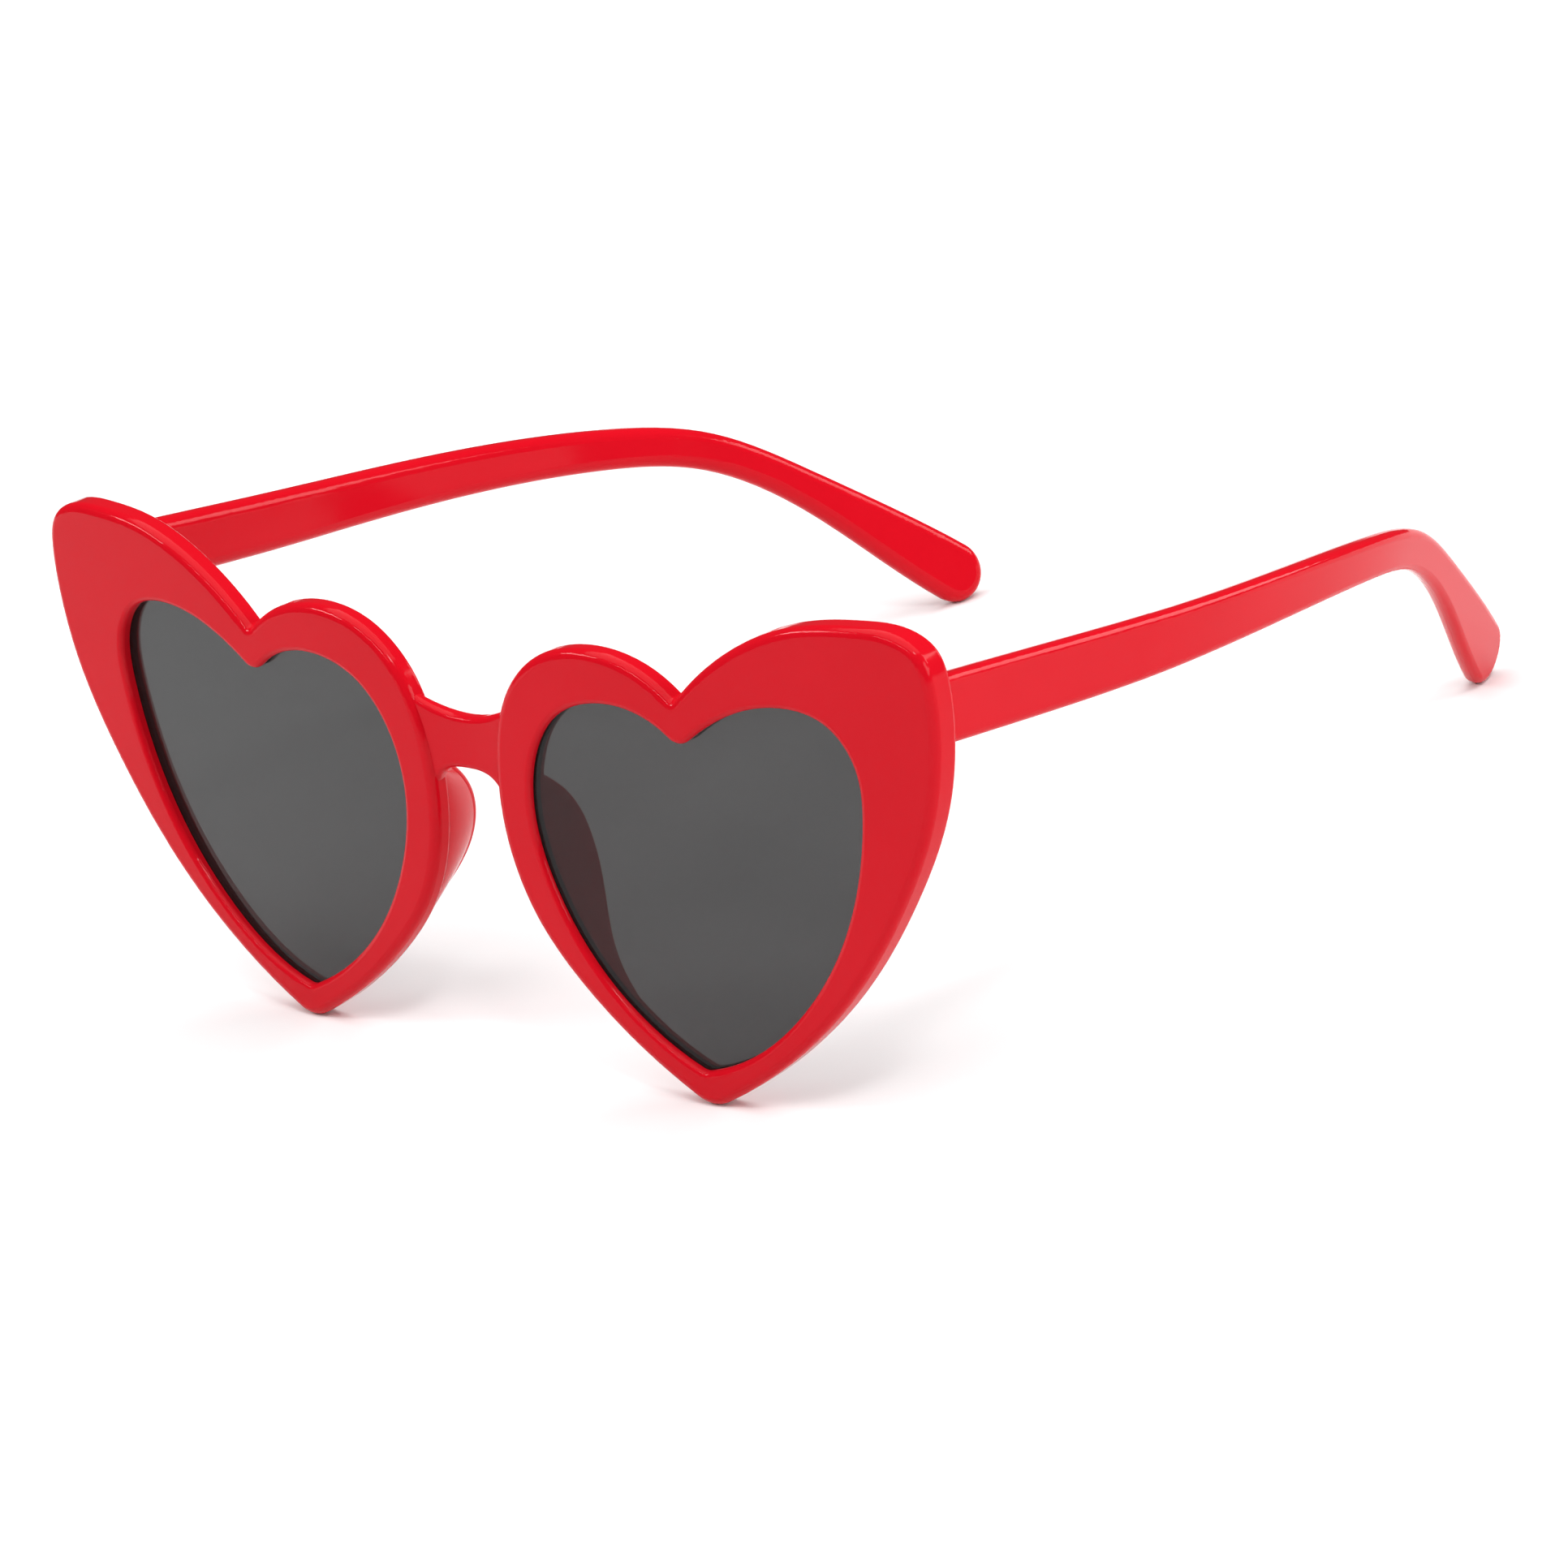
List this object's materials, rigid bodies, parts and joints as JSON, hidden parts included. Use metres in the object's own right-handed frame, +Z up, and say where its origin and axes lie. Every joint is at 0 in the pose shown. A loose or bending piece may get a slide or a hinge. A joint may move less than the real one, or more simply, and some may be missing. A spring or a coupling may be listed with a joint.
{
  "type": "heart shaped sunglasses",
  "caption": "Glossy red plastic sunglasses with heart shaped rims, raised outer wings, smoke grey lenses, fins for the nose and temples that fold on screwed hinges.",
  "frame": {"origin": "on the surface that the open sunglasses stand on, in the middle of the box that they fill", "axes": "+Z up; the front faces -Y and the temples run back along +Y; +X is the wearer's left"},
  "size_m": [0.1472, 0.1502, 0.0636],
  "materials": {
    "red_plastic": "polished moulded plastic",
    "smoke_lens": "polished smoke grey sheet",
    "hinge_metal": "stamped and tumbled",
    "screw_steel": "turned",
    "core_metal": "drawn strip"
  },
  "bodies": {
    "front": {"front_frame": "red_plastic", "left_lens": "smoke_lens", "right_lens": "smoke_lens", "left_nose_pad": "red_plastic", "right_nose_pad": "red_plastic", "left_front_hinge_leaf": "hinge_metal", "right_front_hinge_leaf": "hinge_metal", "left_hinge_screw": "screw_steel", "right_hinge_screw": "screw_steel", "left_front_leaf_screws": "screw_steel", "right_front_leaf_screws": "screw_steel"},
    "left_arm": {"left_temple": "red_plastic", "left_temple_hinge_leaf": "hinge_metal", "left_temple_leaf_screws": "screw_steel", "left_temple_core_wire": "core_metal"},
    "right_arm": {"right_temple": "red_plastic", "right_temple_hinge_leaf": "hinge_metal", "right_temple_leaf_screws": "screw_steel", "right_temple_core_wire": "core_metal"}
  },
  "joints": [
    {"name": "left_temple_fold", "type": "hinge", "parent": "front", "child": "left_arm", "pos_m": [0.0681, -0.06433, 0.05299], "axis": [0, 0.0523, 0.9986], "range_deg": [0, 82]},
    {"name": "right_temple_fold", "type": "hinge", "parent": "front", "child": "right_arm", "pos_m": [-0.0681, -0.06433, 0.05299], "axis": [0, -0.0523, -0.9986], "range_deg": [0, 74]}
  ]
}
